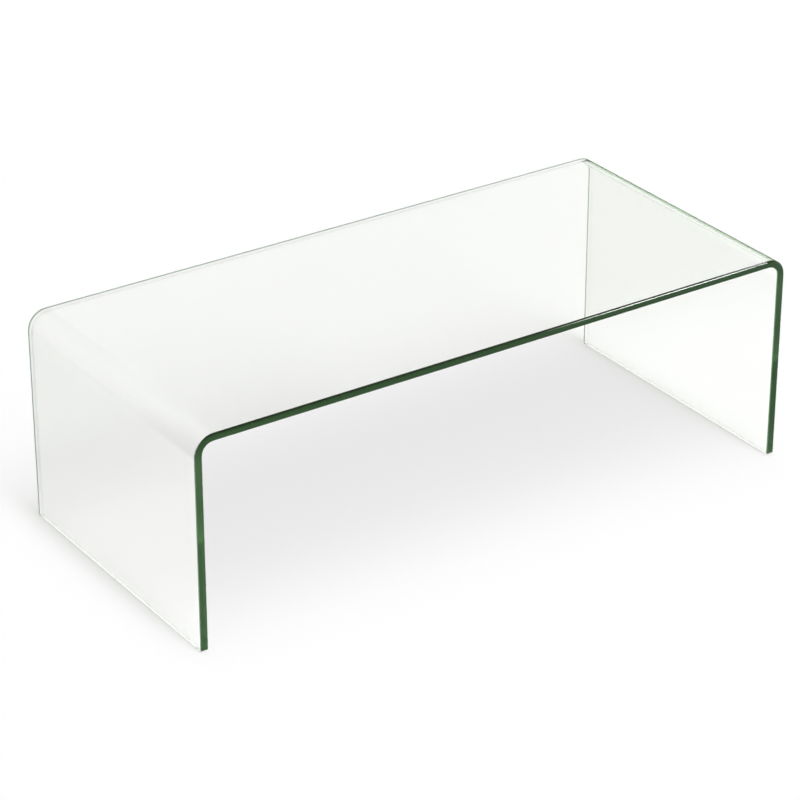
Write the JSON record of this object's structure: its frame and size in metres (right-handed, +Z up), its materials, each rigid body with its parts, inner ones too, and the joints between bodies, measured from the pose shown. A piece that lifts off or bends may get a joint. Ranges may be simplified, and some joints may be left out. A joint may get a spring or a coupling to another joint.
{
  "type": "coffee table",
  "caption": "Clear bent-glass coffee table: a continuous sheet curves down at each end into upright slab legs, with flat polished edges and clear soft pads under the feet.",
  "frame": {"origin": "on the floor under the middle of the table top", "axes": "+X along the table's length, +Y from the front edge to the back edge, +Z up"},
  "size_m": [1.1, 0.5, 0.36],
  "materials": {
    "toughened_glass": "clear float glass, dark green where seen through the edge, flat polished edges with a small arris",
    "clear_soft_pad": "clear soft polyurethane, semi-gloss"
  },
  "bodies": {
    "root": {"bent_glass_sheet": "toughened_glass", "foot_pad_front_left": "clear_soft_pad", "foot_pad_front_right": "clear_soft_pad", "foot_pad_back_left": "clear_soft_pad", "foot_pad_back_right": "clear_soft_pad"}
  },
  "joints": []
}
